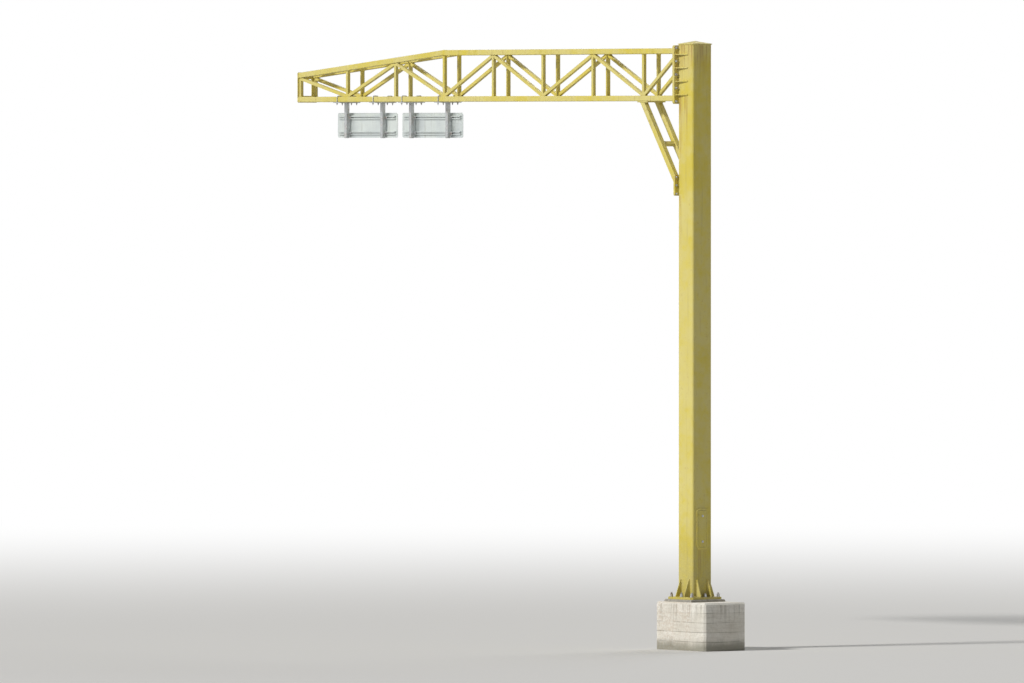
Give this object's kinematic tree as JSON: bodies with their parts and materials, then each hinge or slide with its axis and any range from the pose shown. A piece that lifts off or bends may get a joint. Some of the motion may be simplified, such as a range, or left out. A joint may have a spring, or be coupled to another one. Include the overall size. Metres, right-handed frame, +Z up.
{
  "type": "cantilever overhead sign gantry",
  "caption": "Yellow painted steel cantilever sign gantry: square mast on a concrete plinth, knee-braced lattice boom over the road, blank sign panels hung below it.",
  "frame": {"origin": "on the underside of the concrete plinth, straight below the mast's axis", "axes": "-X runs along the boom from the mast to its tip, +Y is the side that the sign faces look to, +Z is up along the mast"},
  "size_m": [8.82, 0.65, 7.59],
  "materials": {
    "yellow_paint": "weathered semi-gloss",
    "pale_concrete": "cast, weathered",
    "grey_mortar": "trowelled",
    "galvanised_steel": "spangled, dull",
    "bare_aluminium": "mill finish, weathered",
    "black_rubber": "matt, dusty"
  },
  "bodies": {
    "root": {"plinth": "pale_concrete", "mortar_bed": "grey_mortar", "base_plate": "yellow_paint", "foot_gussets": "yellow_paint", "mast": "yellow_paint", "mast_cap": "yellow_paint", "door_frame": "yellow_paint", "access_door": "yellow_paint", "door_seal": "black_rubber", "mast_flange": "yellow_paint", "head_gussets": "yellow_paint", "boom_end_plate": "yellow_paint", "upper_chord_front": "yellow_paint", "upper_chord_back": "yellow_paint", "raked_chord_front": "yellow_paint", "raked_chord_back": "yellow_paint", "lower_chord_front": "yellow_paint", "lower_chord_back": "yellow_paint", "side_lattice_front": "yellow_paint", "side_lattice_back": "yellow_paint", "upper_lacing": "yellow_paint", "lower_lacing": "yellow_paint", "tip_plate": "yellow_paint", "knee_seat_plate": "yellow_paint", "knee_foot_plate": "yellow_paint", "knee_head_plate": "yellow_paint", "knee_brace_front": "yellow_paint", "knee_brace_back": "yellow_paint", "knee_tie_bar": "yellow_paint", "hanger_saddles": "galvanised_steel", "hanger_posts": "galvanised_steel", "hanger_plugs": "black_rubber", "inner_sign_rails": "bare_aluminium", "outer_sign_rails": "bare_aluminium", "inner_sign_panel": "bare_aluminium", "outer_sign_panel": "bare_aluminium"}
  },
  "joints": []
}
